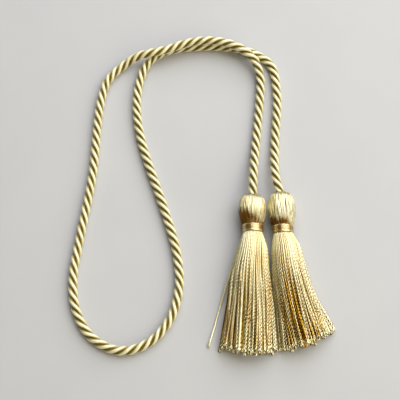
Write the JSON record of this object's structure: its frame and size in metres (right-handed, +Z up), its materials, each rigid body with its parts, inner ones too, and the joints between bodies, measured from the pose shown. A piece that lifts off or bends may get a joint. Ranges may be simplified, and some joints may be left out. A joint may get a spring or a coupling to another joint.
{
  "type": "double-ended tassel",
  "caption": "Twisted gold cord that ends in matching yarn tassels, each with a barrel head, a bound neck and a full skirt, for tying back, hanging or trimming.",
  "frame": {"origin": "on the surface that the piece lies on, under the middle of the two tassels", "axes": "+Z up from that surface, +Y along the tassels from their skirts to their heads, +X from the left tassel to the right one"},
  "size_m": [0.1228, 0.1585, 0.0125],
  "materials": {
    "cord_yarn": "satin, twisted strands of pale gold yarn",
    "tassel_yarn": "satin, fine twisted gold yarns",
    "binding_thread": "glossy, tightly wound fine gold thread"
  },
  "bodies": {
    "root": {"cord": "cord_yarn", "tassel_left": "tassel_yarn", "binding_left": "binding_thread", "tassel_right": "tassel_yarn", "binding_right": "binding_thread"}
  },
  "joints": []
}
